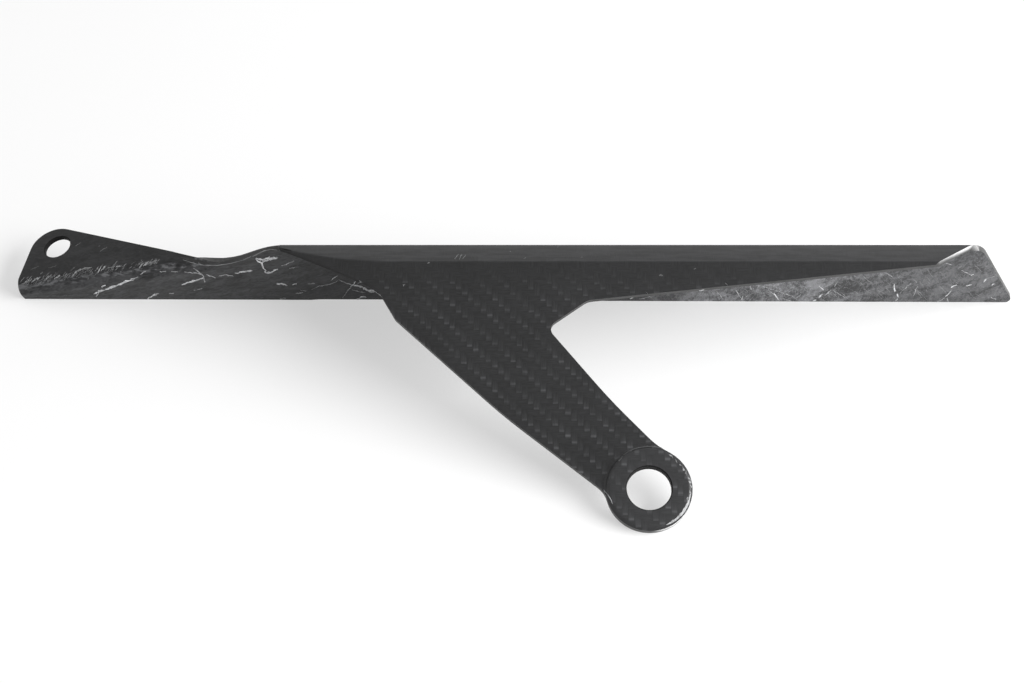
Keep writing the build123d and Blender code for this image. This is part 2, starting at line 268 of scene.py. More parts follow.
WEDGE_LINES = (
    ((639, 299), (654, 296)),
    ((716, 290.5), (719, 294), (723, 299.5)),
    ((735.5, 289), (738, 294), (742, 299.5)),
    ((750.5, 286.5), (751.5, 290)),
    ((742, 298.5), (751.5, 294)),
    ((761.5, 286), (779, 291.5), (797, 298)),
    ((769.5, 290.5), (774, 295), (780, 301)),
    ((782, 298), (792, 301.5)),
    ((795, 299), (801, 294.5)),
    ((832, 290), (845, 297.5)),
    ((834.5, 286.5), (838, 282)),
    ((884.5, 272), (894, 278)),
    ((913, 296.5), (918, 286)),
    ((900, 293), (911, 283)),
    ((943, 262), (951, 264.5)),
    ((961.5, 270.5), (972, 275.5)),
    ((945.5, 296.5), (941.5, 300.5), (936, 302)),
    ((946, 296.5), (949, 302.5)),
    ((991, 297), (996, 299.5)),
    ((986, 279), (995, 276)),
)
DIP_LINE = (
    ((183, 259.8), (192, 262.8), (205, 265.2), (217, 265.4), (230, 263.6), (243, 260), (255, 255.2),
     (264, 250.8), (271, 249.4), (279, 250.4)),
)
DIP_BAND = (
    ((180, 257), (195, 261), (207, 263), (217, 263), (228, 261.5), (240, 258.3), (252, 253.5),
     (262, 249.8)),
)
# A painted highlight along the ring's fillet, where its step catches the light.
RING_FILLET = (
    ((618.8, 461), (623.4, 455), (629.7, 450.7), (637.2, 447.9), (647, 446.4), (655.5, 446.6),
     (661.5, 448)),
)
BEVEL_SCRATCHES = (
    ((455, 259.5), (458, 254.5)),
    ((459, 259.5), (462, 254.5)),
    ((463, 259), (465.5, 255)),
    ((509.5, 251.3), (511, 250.7)),
    ((524, 258.3), (526, 257.6)),
    ((557, 247.3), (559, 246.7)),
    ((581, 257.3), (583, 256.8)),
    ((660, 275.4), (662.5, 274.8)),
    ((694, 269.3), (696, 268.8)),
    ((403, 285.3), (405, 284.8)),
    ((427, 263.3), (429, 262.8)),
)
RING_CHIPS = (
    ((668.5, 453.8), (670.5, 455.5), (672.5, 457.5)),
    ((675.5, 459.5), (677.5, 463)),
    ((680, 464.5), (683, 467.5), (684, 470.5)),
    ((685.6, 471), (687, 476)),
    ((688.5, 477.5), (690, 480), (690.5, 484)),
    ((691, 485), (691.5, 488)),
    ((689.5, 490.5), (691, 493)),
    ((687.8, 496), (687, 500.5)),
    ((603.5, 490), (606, 492.5)),
)
# Painted highlights along the arm's edge at the neck and along the ring's lower rear rim.
NECK_GLINT = (
    ((606.5, 493), (609, 496.5), (611, 500), (612.5, 504)),
)
RING_SHINE = (
    ((690.8, 492.7), (688.5, 502.8), (683.4, 512), (676, 519.5), (666.7, 525.1)),
)

# How each kind is laid: strands, stray in pixels, width and height in millimetres, paleness and raggedness
CREASE_KINDS = (
    (EAR_BEND_CREASES_AND_GLINTS, 3, 1.3, 0.35, 0.1, 0.35, 0.9),
    (EAR_SCRATCHES, 1, 0.7, 0.3, 0.05, 0.14, 0.9),
    (LEFT_SPLASHES, 4, 1.7, 0.5, 0.15, 0.75, 0.9),
    (LEFT_LINES, 2, 1.0, 0.35, 0.1, 0.5, 0.9),
    (WEDGE_CHIPS, 2, 0.8, 0.6, 0.1, 0.9, 0.9),
    (WEDGE_LINES, 1, 1.0, 0.4, 0.08, 0.55, 0.9),
    (DIP_LINE, 1, 0.0, 0.6, 0.1, 0.25, 0.2),
    (DIP_BAND, 1, 0.0, 1.8, 0.04, 0.012, 0.1),
)
FLAW_KINDS = (
    (BEVEL_SCRATCHES, 2, 1.5, 0.28, 0.04, 0.13, 0.9),
    (RING_CHIPS, 1, 1.2, 0.6, 0.03, 0.28, 1.4),
    (NECK_GLINT, 1, 0.0, 0.35, 0.04, 0.45, 0.3),
    (RING_SHINE, 1, 0.4, 0.75, 0.03, 0.38, 0.5),
    (RING_FILLET, 1, 0.3, 1.1, 0.03, 0.1, 0.4),
)
PATH_STEP = 1.5
STRAY_SPAN = 2.3
STRAY_SHIFT = Vector((41.3, 17.9, 0))
STRAND_SHIFT = 9.0

# Fine random creases on the ear's bend and the rear wedge: number, place in the photograph and shape
CREASE_SEED = 7
RANDOM_STRAY = 0.7
RANDOM_RAG = 0.9
# The bend's furrows are creases that also carry painted glints.
BEND_FURROWS_AND_GLINTS = 170
BEND_LINE = ((22, 283), (158, 261))
BEND_SPREAD = (3.0, 1.4)
FURROW_RUN = (0.8, 2.6)
FURROW_SLOPE = (0.4, 1.5)
FURROW_WIDTH = (0.2, 0.4)
FURROW_HEIGHT = 0.1
FURROW_PALE = (0.04, 0.2)
WEDGE_SCRATCHES = 130
WEDGE_EDGE = ((640, 296), (935, 267))
WEDGE_END = 980
WEDGE_FOOT = 300.0
SCRATCH_CROWDING = 0.7
SCRATCH_RUN = (1.0, 4.5)
SCRATCH_SLOPE = (0.3, 1.2)
SCRATCH_WAYS = (-1.0, 1.0, 1.0)
SCRATCH_WIDTH = (0.12, 0.28)
SCRATCH_HEIGHT = 0.05
SCRATCH_PALE = (0.15, 0.4)

# Random creases on the faces that the photograph doesn't show, laid by rays from behind the guard
HIDDEN_CREASES = 46
HIDDEN_STEPS = (4, 14)
HIDDEN_STEP = 0.6 * MM
HIDDEN_BEND = 0.12
HIDDEN_WIDTH = (0.3, 0.7)
HIDDEN_HEIGHT = 0.15
HIDDEN_PALE = (0.15, 0.45)
BEHIND = 1.0

# Ridges: how far a run may leap or turn, how they swell, how deep they root and how proud they may stand
RUN_GAP = 1.6 * MM
RUN_TURN = 0.3
RUN_POINTS = 3
SWELL_SPAN = 0.9 * MM
SWELL_LEAST = 0.25
TAPER_LEAST = 0.3
ROOT = 0.1 * MM
HAIR = 0.02 * MM


class Shader:
    """A node tree with short calls for the nodes that are used here."""

    def __init__(self, owner):
        owner.use_nodes = True
        self.tree = owner.node_tree

    def add(self, kind, inputs=None, **settings):
        node = self.tree.nodes.new("ShaderNode" + kind)
        for name, value in settings.items():
            setattr(node, name, value)
        for name, value in (inputs or {}).items():
            self.feed(node.inputs[name], value)
        return node

    def feed(self, socket, value):
        if isinstance(value, bpy.types.NodeSocket):
            self.tree.links.new(value, socket)
        else:
            socket.default_value = value

    def math(self, operation, *values):
        node = self.add("Math", operation=operation)
        for socket, value in zip(node.inputs, values):
            self.feed(socket, value)
        return node.outputs[0]

    def plus(self, total, *others):
        for other in others:
            total = self.math("ADD", total, other)
        return total

    def times(self, product, *others):
        for other in others:
            product = self.math("MULTIPLY", product, other)
        return product

    def mix(self, share, start, end):
        return self.add("Mix", {"Factor": share, "A": start, "B": end}).outputs[0]

    def fit(self, value, low, high, start=0.0, end=1.0):
        """value mapped smoothly from low..high to start..end, and held at the ends."""
        node = self.add("MapRange", interpolation_type="SMOOTHSTEP")
        for socket, number in zip(node.inputs, (value, low, high, start, end)):
            self.feed(socket, number)
        return node.outputs[0]

    def noise(self, vector, scale, detail=3.0, roughness=0.55, distortion=0.0):
        inputs = {
            "Vector": vector,
            "Scale": scale,
            "Detail": detail,
            "Roughness": roughness,
            "Distortion": distortion,
        }
        return self.add("TexNoise", inputs).outputs["Fac"]

    def stretched(self, vector, scale, turn=(0, 0, 0)):
        inputs = {"Vector": vector, "Scale": scale, "Rotation": turn}
        return self.add("Mapping", inputs).outputs[0]

    def axes(self, vector):
        return self.add("SeparateXYZ", {0: vector}).outputs

    def position(self):
        return self.add("TexCoord").outputs["Object"]

    def facing_up(self):
        """One on a level face that faces up, and minus one on one that faces down."""
        return self.axes(self.add("NewGeometry").outputs["Normal"])[2]

    def attribute(self, name):
        return self.add("Attribute", attribute_name=name).outputs["Fac"]

    def grey(self, value, tint=(1.0, 1.0, 1.0)):
        """A colour of the given lightness, tinted."""
        scaled = self.add("VectorMath", operation="SCALE")
        scaled.inputs[0].default_value = tint
        self.feed(scaled.inputs["Scale"], value)
        return scaled.outputs[0]

    def bump(self, height, strength, distance):
        inputs = {"Height": height, "Strength": strength, "Distance": distance}
        return self.add("Bump", inputs).outputs[0]


def principled(name, **constants):
    """A new material, its shader and its surface node, with constant inputs set on the node itself."""
    material = bpy.data.materials.new(name)
    shader = Shader(material)
    surface = shader.tree.nodes["Principled BSDF"]
    for socket, value in constants.items():
        surface.inputs[socket].default_value = value
    return material, shader, surface


def dress_surface(shader, surface, colour, roughness, relief):
    """Links what varies over a surface to its node."""
    shader.feed(surface.inputs["Base Color"], colour)
    shader.feed(surface.inputs["Roughness"], roughness)
    shader.feed(surface.inputs["Normal"], relief)


def cloth_coordinates(shader):
    """Place on the cloth, counted in tows, that drifts a little as hand-laid cloth does."""
    flat = shader.add("UVMap", uv_map="cloth").outputs[0]
    drift = shader.add("TexNoise", {"Vector": flat, "Scale": 0.14, "Detail": 1.0}).outputs["Color"]
    askew = shader.add("VectorMath", {0: drift, "Scale": 0.9}, operation="SCALE").outputs[0]
    return shader.add("VectorMath", {0: flat, 1: askew}, operation="ADD").outputs[0]


def tow_bulge(shader, across, share):
    """Height of a tow that is round across and arches from where it dives under to where it does again."""
    crown = shader.math("SUBTRACT", 1.0, shader.times(shader.math("POWER", across, 2.0), 3.0))
    arch = shader.math("SINE", shader.times(shader.math("FRACT", share), pi))
    return shader.times(crown, arch)


def twill(shader):
    """Height, glint and fibres of a two-by-two twill, from cloth coordinates counted in tows."""
    uv = cloth_coordinates(shader)
    u, v, _ = shader.axes(uv)
    column = shader.math("FLOOR", u)
    row = shader.math("FLOOR", v)
    across_warp = shader.math("SUBTRACT", shader.math("FRACT", u), 0.5)
    across_weft = shader.math("SUBTRACT", shader.math("FRACT", v), 0.5)
    along_warp = shader.math("FLOORED_MODULO", shader.plus(v, column), 4.0)
    along_weft = shader.math("FLOORED_MODULO", shader.plus(u, row), 4.0)
    warp_up = shader.math("LESS_THAN", along_warp, 2.0)
    warp_share = shader.math("DIVIDE", along_warp, 2.0)
    weft_share = shader.math("SUBTRACT", shader.math("DIVIDE", along_weft, 2.0), 1.0)
    warp = tow_bulge(shader, across_warp, warp_share)
    weft = tow_bulge(shader, across_weft, weft_share)
    height = shader.mix(warp_up, weft, warp)
    warp_fibre = shader.noise(shader.stretched(uv, (7.0, 0.6, 1.0)), 1.0, 2.0)
    weft_fibre = shader.noise(shader.stretched(uv, (0.6, 7.0, 1.0)), 1.0, 2.0)
    fibre = shader.mix(warp_up, weft_fibre, warp_fibre)

    float_number = shader.math("FLOOR", shader.math("DIVIDE", shader.plus(v, column), 4.0))
    place = shader.add("CombineXYZ", {0: column, 1: float_number}).outputs[0]
    dice = shader.add("TexWhiteNoise", {"Vector": place}, noise_dimensions="2D").outputs
    onset = shader.plus(warp_share, shader.fit(shader.axes(dice["Color"])[1], 0.0, 1.0, -0.16, 0.04))
    rise = shader.fit(onset, -0.02, 0.08)
    fall = shader.fit(onset, 0.1, 0.28, 1.0, 0.0)
    middle = shader.fit(shader.math("ABSOLUTE", across_warp), 0.34, 0.5, 1.0, 0.0)
    dash = shader.times(rise, fall, middle, shader.fit(dice["Value"], 0.0, 1.0, 0.3, 1.0))
    streak = shader.times(shader.fit(warp_share, 0.1, 0.9, 1.0, 0.0), middle, 0.3)
    glint = shader.times(warp_up, shader.plus(dash, streak))

    wall_share = shader.fit(v, FADE_START / TOW, CREASE.z / TOW, 1.0, 0.0)
    flange_share = shader.fit(v, (CREASE.z + BEVEL_WIDTH) / TOW, FADE_END / TOW)
    strength = shader.math("MAXIMUM", wall_share, flange_share)
    return shader.times(height, strength), shader.times(glint, strength), fibre


def mould_material():
    """Satin face that lay on the mould: twill under an even skin of resin, with painted glints, dulled on
    top and paler there as painted sheen.
    """
    material, shader, surface = principled("mould_face", IOR=1.39)
    position = shader.position()
    x, y, z = shader.axes(position)
    up = shader.facing_up()
    height, glint, fibre = twill(shader)
    resin = shader.fit(shader.noise(position, 60.0), 0.3, 0.7, 0.003, 0.006)
    weave = shader.times(height, 0.003)
    threads = shader.fit(fibre, 0.25, 0.75, -0.003, 0.005)
    # Paler towards the rear.
    rear_paleness = shader.fit(x, *REAR_PALE_SPAN, 0.0, 0.008)
    ring = shader.fit(y, *RING_SPAN, 0.0, 0.007)
    lines = shader.noise(shader.stretched(position, (110.0, 500.0, 700.0)), 1.0, 2.0)
    # Faces that turn up are paler, in streaks along the guard: painted sheen.
    top_sheen = shader.fit(up, 0.15, 0.5, 0.0, 0.008)
    painted_light = shader.times(top_sheen, shader.fit(lines, 0.35, 0.65, 0.4, 1.6))
    patch = shader.fit(shader.noise(position, 130.0, 2.0), 0.35, 0.65, 0.35, 1.0)
    shine = shader.fit(z, *SHINE_SPAN, 0.046, 0.026)
    # The twill's glints go into the colour as painted highlights.
    shade = shader.plus(resin, weave, threads, painted_light, rear_paleness, ring, shader.times(glint, patch, shine))
    colour = shader.grey(shade, (0.98, 0.99, 1.04))
    roughness = shader.fit(up, 0.65, 0.9, 0.4, 0.85)
    dress_surface(shader, surface, colour, roughness, shader.bump(height, 0.12, 0.05 * MM))
    return material


def painted_bend_glints(shader, position, along, up):
    """Lightness of the painted glints, in fine slanted streaks, on the bend of the ear."""
    combed = shader.stretched(position, (260.0, 900.0, 900.0), (0, BEND_GLINT_TURN, 0))
    glint_streaks = shader.noise(combed, 1.0, 3.0, 0.6)
    on_bend = shader.fit(shader.math("ABSOLUTE", shader.plus(up, 0.4)), 0.12, 0.34, 1.0, 0.0)
    on_ear = shader.fit(along, *BEND_GLINT_SPAN)
    return shader.times(shader.fit(glint_streaks, 0.42, 0.66, 0.0, 0.1), on_bend, on_ear)


def rear_marble_and_light(shader, position, along):
    """Lightness of the cloudy, veined resin towards the rear, which rises along the guard in part as
    painted light.
    """
    deep = shader.stretched(position, (1.0, 0.45, 1.0), (0, 0, MARBLE_TURN))
    speck = shader.noise(deep, 1100.0, 4.0, 0.7, 0.8)
    patch = shader.noise(shader.stretched(deep, (0.5, 1.0, 1.0)), 240.0, 5.0, 0.6, 0.8)
    marble = shader.plus(shader.times(speck, 0.45), shader.times(patch, 0.55))
    wander = shader.noise(deep, 170.0, 4.0, 0.6, 2.0)
    vein = shader.math("ABSOLUTE", shader.math("SUBTRACT", wander, 0.5))
    clouds = shader.fit(marble, 0.4, 0.6, 0.02, 0.16)
    veins = shader.fit(vein, 0.0, 0.012, 0.12, 0.0)
    # The rise of this paleness along the guard is in part painted light.
    start = shader.fit(along, *MARBLE_SPAN)
    strength = shader.fit(along, *MARBLE_FADE, 1.62, 0.7)
    return shader.times(shader.plus(clouds, veins), start, strength)


def bag_material():
    """Rough face that lay under the bag: mottled resin, painted light underneath, painted glints on the
    ear's bend, and cloudy, veined resin at the rear, paler there in part as painted light.
    """
    material, shader, surface = principled("bag_face", IOR=1.3)
    position = shader.position()
    along = shader.axes(position)[0]
    up = shader.facing_up()
    slanted = shader.stretched(position, (1.0, 1.0, 1.0), (0, 0, RESIN_TURN))
    drawn = shader.stretched(slanted, (0.45, 1.0, 1.0))
    cloud = shader.noise(drawn, 110.0, 6.0, 0.62, 0.6)
    fleck = shader.noise(drawn, 700.0, 3.0, 0.6, 1.2)
    tone = shader.plus(shader.times(cloud, 0.6), shader.times(fleck, 0.4))
    resin = shader.fit(tone, 0.34, 0.7, 0.006, 0.03)
    # Faces that turn down are paler, more so towards the front: painted light.
    under = shader.fit(up, -0.1, -0.8)
    brighter_front = shader.fit(along, *UNDERSIDE_LIGHT_SPAN, 0.03, 0.045)
    painted_light = shader.times(shader.fit(tone, 0.36, 0.68), under, brighter_front)
    bend_glint = painted_bend_glints(shader, position, along, up)
    shade = shader.plus(resin, painted_light, bend_glint, rear_marble_and_light(shader, position, along))
    colour = shader.grey(shade, (0.98, 0.99, 1.03))
    roughness = shader.fit(cloud, 0.3, 0.7, 0.36, 0.55)
    dress_surface(shader, surface, colour, roughness, shader.bump(tone, 0.5, 0.3 * MM))
    return material


def cut_material():
    """Trimmed edge: sanded laminate, dusty, with a painted highlight where it faces the rear."""
    material, shader, surface = principled("cut_edge", IOR=1.45)
    position = shader.position()
    grain = shader.noise(position, 900.0, 4.0, 0.65)
    patch = shader.noise(position, 90.0, 3.0)
    tone = shader.plus(shader.times(grain, 0.5), shader.times(patch, 0.5))
    sanded = shader.fit(tone, 0.35, 0.68, 0.012, 0.06)
    # A painted highlight on cut faces that turn to the rear.
    lit_edge = shader.fit(shader.attribute("lit_edge"), 0.05, 0.55)
    edge_highlight = shader.times(shader.fit(tone, 0.3, 0.6, 0.3, 0.55), lit_edge)
    colour = shader.grey(shader.plus(sanded, edge_highlight))
    roughness = shader.fit(grain, 0.3, 0.7, 0.4, 0.6)
    dress_surface(shader, surface, colour, roughness, shader.bump(grain, 0.4, 0.1 * MM))
    return material


def bore_material():
    """Dark cut of the holes and of the wall's tip, darkened in part as painted shade, with fine rings from
    the drill.
    """
    material, shader, surface = principled("bore_wall", IOR=1.2)
    ring = shader.noise(shader.stretched(shader.position(), (0.2, 3.0, 0.2)), 900.0, 3.0)
    colour = shader.grey(shader.fit(ring, 0.3, 0.7, 0.002, 0.012))
    roughness = shader.fit(ring, 0.3, 0.7, 0.5, 0.7)
    dress_surface(shader, surface, colour, roughness, shader.bump(ring, 0.3, 0.1 * MM))
    return material


def crease_material():
    """Resin that stands up in creases, as dry as each one's own paleness; on the glint and highlight
    strokes that paleness is a painted highlight.
    """
    material, shader, surface = principled("pale_resin_and_glints", IOR=1.45)
    grain = shader.noise(shader.position(), 800.0, 4.0, 0.65)
    shade = shader.times(shader.fit(grain, 0.3, 0.7, 0.45, 1.0), shader.attribute("pale"))
    colour = shader.grey(shade, (0.99, 1.0, 1.02))
    roughness = shader.fit(grain, 0.3, 0.7, 0.35, 0.55)
    dress_surface(shader, surface, colour, roughness, shader.bump(grain, 0.3, 0.1 * MM))
    return material


def in_bore(point, normal):
    """Whether a face at a point belongs to the wall of a mounting hole or to its broken edges."""
    for mount in frame["record"]["mounts"]:
        axis = Vector(mount["axis"])
        offset = point - Vector(mount["pos_m"])
        depth = offset.dot(axis)
        radial = offset - axis * depth
        reach = mount["dims"]["r_mm"] * MM + BORE_BREAK
        is_near = abs(depth) < SHEET_LIMIT and radial.length < reach
        if is_near and normal.dot(radial.normalized()) < BORE_LEAN:
            return True
    return False


def in_tip(point, normal):
    """Whether a cut at a point is the one that faces forward on the wall's tip."""
    return TIP_X < point.x < TIP_REAR and point.z > TIP_FOOT and normal.x < 0


def mark_cuts(mesh):
    """Tells the faces of the sheet, all marked as the mould's side for now, from cut edges and holes."""
    tree = BVHTree.FromBMesh(mesh)
    for face in mesh.faces:
        start = face.calc_center_median() - face.normal * SKIN
        _, normal, _, _ = tree.ray_cast(start, -face.normal, SHEET_LIMIT)
        is_sheet = normal is not None and normal.dot(face.normal) < OPPOSITE
        is_ring = start.y < RING_FRONT and face.normal.y < RING_LEAN
        is_cut = not is_sheet and not is_ring
        face.material_index = CUT if is_cut else MOULD
        if in_bore(start, face.normal) or is_cut and in_tip(start, face.normal):
            face.material_index = BORE


def mark_sides(mesh):
    """Tells the two sides of the sheet apart: each smooth patch faces the mould or the bag."""
    left = {face for face in mesh.faces if face.material_index == MOULD}
    while left:
        patch, queue = set(), [left.pop()]
        while queue:
            face = queue.pop()
            patch.add(face)
            flat = [edge for edge in face.edges if edge.calc_face_angle(pi) < SHARP]
            near = {other for edge in flat for other in edge.link_faces} & left
            queue += near
            left -= near
        facing = sum((face.normal * face.calc_area() for face in patch), Vector())
        for face in patch:
            face.material_index = MOULD if facing.dot(MOULD_SIDE) > 0 else BAG


def share_between(value, low, high):
    """How far value is from low to high, held between nought and one."""
    return min(1.0, max(0.0, (value - low) / (high - low)))


def edge_highlight_share(point, normal):
    """How much painted highlight a cut edge gets: at the bevel's rear end and on the ring's lower rear
    side.
    """
    if hypot(point.x, point.z) < RING_REACH:
        return share_between(normal.dot(RING_LIT_SIDE), *RING_LIT_SPAN)
    rear = share_between(normal.x, *REAR_LIT_SPAN)
    bevel = share_between(point.z, *BEVEL_SPAN)
    flange = share_between(point.y, *FLANGE_SPAN)
    corner = share_between(point.z, *CORNER_SPAN)
    return rear * bevel * (1.0 - FLANGE_LOSS * flange) * (1.0 - CORNER_LOSS * corner)


def mark_edge_highlight(mesh):
    """Stores the painted highlight of each point of a cut edge, with little of it on the bag's side."""
    layer = mesh.verts.layers.float.new("lit_edge")
    for vert in mesh.verts:
        cuts = [edge_highlight_share(vert.co, face.normal) for face in vert.link_faces if face.material_index == CUT]
        inner = any(face.material_index == BAG for face in vert.link_faces)
        if cuts:
            vert[layer] = max(cuts) * (INNER_LIT if inner else 1.0)


def cut_grid(mesh, normal, low, high):
    """Cuts the bag's side along evenly spaced planes, so that it has points to shape."""
    for step in range(1, floor((high - low) / GRID)):
        faces = [face for face in mesh.faces if face.material_index == BAG]
        edges = list(dict.fromkeys(edge for face in faces for edge in face.edges))
        verts = list(dict.fromkeys(vert for face in faces for vert in face.verts))
        bmesh.ops.bisect_plane(
            mesh,
            geom=verts + edges + faces,
            dist=WELD,
            plane_co=normal * (low + step * GRID),
            plane_no=normal,
        )


def wrinkle(mesh):
    """Moves the bag's side by a fraction of a millimetre, less towards its edges."""
    rim = [vert for vert in mesh.verts if len({face.material_index for face in vert.link_faces}) > 1]
    tree = KDTree(len(rim))
    for index, vert in enumerate(rim):
        tree.insert(vert.co, index)
    tree.balance()
    moves = []
    for vert in mesh.verts:
        if any(face.material_index != BAG for face in vert.link_faces):
            continue
        fade = min(1.0, tree.find(vert.co)[2] / WRINKLE_EDGE)
        slanted = vert.co.y + vert.co.x * WRINKLE_SLANT
        place = Vector((vert.co.x * WRINKLE_DRAW, slanted, vert.co.z))
        pleat = noise.ridged_multi_fractal(place / PLEAT_SPAN, *PLEAT_FRACTAL) - 1.0
        ripple = noise.fractal(place / RIPPLE_SPAN, *RIPPLE_FRACTAL)
        moves.append((vert, vert.normal * fade * (pleat * PLEAT_HEIGHT + ripple * RIPPLE_HEIGHT)))
    for vert, move in moves:
        vert.co += move


def ear_cloth_place(point):
    """Where a point of the ear lies on the flat cloth, once the ear is turned back down over its ridge."""
    offset = point - RIDGE_START
    along = offset.dot(RIDGE_RUN)
    beyond = offset.dot(RIDGE_OUTBOARD)
    up = max(0.0, offset.dot(FLANGE_OUT) - LAMINATE)
    flat = RIDGE_START + RIDGE_RUN * along + RIDGE_OUTBOARD * (beyond + up)
    return flat.x, CREASE.z + BEVEL_WIDTH + (flat - FOLD).dot(FLANGE_RUN)


def cloth_place(point):
    """Where a point of the guard lies on the flat cloth that it was made from, in metres."""
    if point.x < TIP_X:
        return ear_cloth_place(point)
    best = None
    for start, run, low, high, base in (
        (Vector((0, 0, 0)), Vector((0, 0, 1)), -1.0, CREASE.z, 0.0),
        (CREASE, BEVEL_RUN, 0.0, BEVEL_WIDTH, CREASE.z),
        (FOLD, FLANGE_RUN, 0.0, 1.0, CREASE.z + BEVEL_WIDTH),
    ):
        share = min(high, max(low, (point - start).dot(run)))
        foot = start + run * share
        gap = hypot(point.y - foot.y, point.z - foot.z)
        if best is None or gap < best[0]:
            best = gap, base + share
    return point.x, best[1]


def lay_cloth(mesh):
    """Stores each corner's place on the cloth as texture coordinates, counted in tows."""
    layer = mesh.loops.layers.uv.new("cloth")
    for face in mesh.faces:
        for loop in face.loops:
            u, v = cloth_place(loop.vert.co)
            loop[layer].uv = (u / TOW, v / TOW)


def smooth_shades(mesh):
    """Shades the faces smoothly, apart from sharp edges and those between two finishes."""
    for edge in mesh.edges:
        sides = {face.material_index for face in edge.link_faces}
        edge.smooth = len(sides) == 1 and edge.calc_face_angle(0.0) < SHARP
    for face in mesh.faces:
        face.smooth = True


def shape_shell(mesh):
    """Marks the finishes of the solid's faces, shapes the bag's side and lays the cloth."""
    bmesh.ops.remove_doubles(mesh, verts=mesh.verts, dist=WELD)
    mesh.normal_update()
    mark_cuts(mesh)
    mark_sides(mesh)
    mark_edge_highlight(mesh)
    bmesh.ops.dissolve_limit(
        mesh,
        angle_limit=FLAT,
        verts=mesh.verts,
        edges=mesh.edges,
        delimit={"MATERIAL"},
    )
    low, high = cad_box
    for axis in range(3):
        normal = Vector([float(axis == other) for other in range(3)])
        cut_grid(mesh, normal, low[axis], high[axis])
    mesh.normal_update()
    wrinkle(mesh)
    bmesh.ops.triangulate(mesh, faces=[face for face in mesh.faces if len(face.verts) > 4])
    lay_cloth(mesh)
    smooth_shades(mesh)


def add_piece(name, mesh, materials):
    """A new object from a finished mesh, which is freed, with its materials in order."""
    data = bpy.data.meshes.new(name)
    mesh.to_mesh(data)
    mesh.free()
    for material in materials:
        data.materials.append(material)
    piece = bpy.data.objects.new(name, data)
    bpy.context.scene.collection.objects.link(piece)
    return piece


def make_shell():
    """The guard itself: the solid's own faces in four finishes, with the bag's side wrinkled."""
    mesh = bmesh.new()
    mesh.from_mesh(frame["nodes"]["chain_guard"].data)
    shape_shell(mesh)
    finishes = mould_material(), bag_material(), cut_material(), bore_material()
    shell = add_piece("guard_shell", mesh, finishes)
    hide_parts("chain_guard")
    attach(shell, "root")
    return shell


class Stroke:
    """One ridge: its rays, its width and height, given in millimetres, and how pale and ragged it is."""

    def __init__(self, rays, width, height, pale, rag):
        self.rays = rays
        self.width = width * MM
        self.height = height * MM
        self.pale = pale
        self.rag = rag


def photo_rays(path, stray, strand=0):
    """Rays from the camera through a path of photograph points, a small step apart and a little astray."""
    rays = []
    for (x0, y0), (x1, y1) in zip(path, path[1:]):
        steps = max(2, round(hypot(x1 - x0, y1 - y0) / PATH_STEP))
        for step in range(steps + 1 if (x1, y1) == path[-1] else steps):
            share = step / steps
            x = x0 + (x1 - x0) * share
            y = y0 + (y1 - y0) * share
            spot = Vector((x, y, strand * STRAND_SHIFT)) / STRAY_SPAN
            right = (x + noise.noise(spot) * stray - IMAGE_WIDTH / 2) * PIXEL
            up = (IMAGE_HEIGHT / 2 - y - noise.noise(spot + STRAY_SHIFT) * stray) * PIXEL
            rays.append((EYE, (VIEW_RUN + ALONG * right + VIEW_UP * up).normalized()))
    return rays


def placed_strokes(kinds):
    """Strokes along the paths of each kind, as many strands of each as the kind has."""
    strokes = []
    for paths, strands, stray, width, height, pale, rag in kinds:
        for path in paths:
            for strand in range(strands):
                strokes.append(Stroke(photo_rays(path, stray, strand), width, height, pale, rag))
    return strokes


def furrow_rays(dice):
    """Rays along a short path that slants across the bend of the ear."""
    (x0, y0), (x1, y1) = BEND_LINE
    share = dice.random()
    front_spread, rear_spread = BEND_SPREAD
    x = x0 + (x1 - x0) * share
    y = y0 + (y1 - y0) * share + dice.gauss(0, front_spread + (rear_spread - front_spread) * share)
    run = dice.uniform(*FURROW_RUN)
    rise = run * dice.uniform(*FURROW_SLOPE)
    return photo_rays(((x - run, y + rise), (x, y), (x + run, y - rise)), RANDOM_STRAY)


def scratch_rays(dice):
    """Rays along a short path on the rough face that shows under the wall's rear edge."""
    (x0, y0), (x1, y1) = WEDGE_EDGE
    x = x0 + (WEDGE_END - x0) * dice.random() ** SCRATCH_CROWDING
    edge = y0 + (y1 - y0) * (x - x0) / (x1 - x0)
    y = edge + (WEDGE_FOOT - edge) * dice.random()
    run = dice.uniform(*SCRATCH_RUN)
    fall = run * dice.choice(SCRATCH_WAYS) * dice.uniform(*SCRATCH_SLOPE)
    return photo_rays(((x - run, y - fall), (x, y), (x + run, y + fall)), RANDOM_STRAY)


def hidden_rays(dice):
    """Rays from behind the guard along a short, bent path at a random place."""
    low, high = cad_box
    x = dice.uniform(low[0], high[0])
    z = dice.uniform(low[2], high[2])
    turn = dice.uniform(0, pi)
    bend = dice.uniform(-HIDDEN_BEND, HIDDEN_BEND)
    rays = []
    for _ in range(dice.randint(*HIDDEN_STEPS)):
        rays.append((Vector((x, BEHIND, z)), Vector((0, -1, 0))))
        x += cos(turn) * HIDDEN_STEP
        z += sin(turn) * HIDDEN_STEP
        turn += bend
    return rays


def random_strokes(dice, count, draw_rays, width, height, pale):
    """Strokes at random places, with a width and a paleness drawn from their ranges."""
    strokes = []
    for _ in range(count):
        rays = draw_rays(dice)
        strokes.append(Stroke(rays, dice.uniform(*width), height, dice.uniform(*pale), RANDOM_RAG))
    return strokes


def unbroken(hits):
    """Runs of hits that follow each other over one surface, without a leap to another."""
    runs = [[]]
    for hit in hits:
        if runs[-1]:
            place, normal = runs[-1][-1][:2]
            if (hit[0] - place).length > RUN_GAP or hit[1].dot(normal) < RUN_TURN:
                runs.append([])
        runs[-1].append(hit)
    return [run for run in runs if len(run) >= RUN_POINTS]


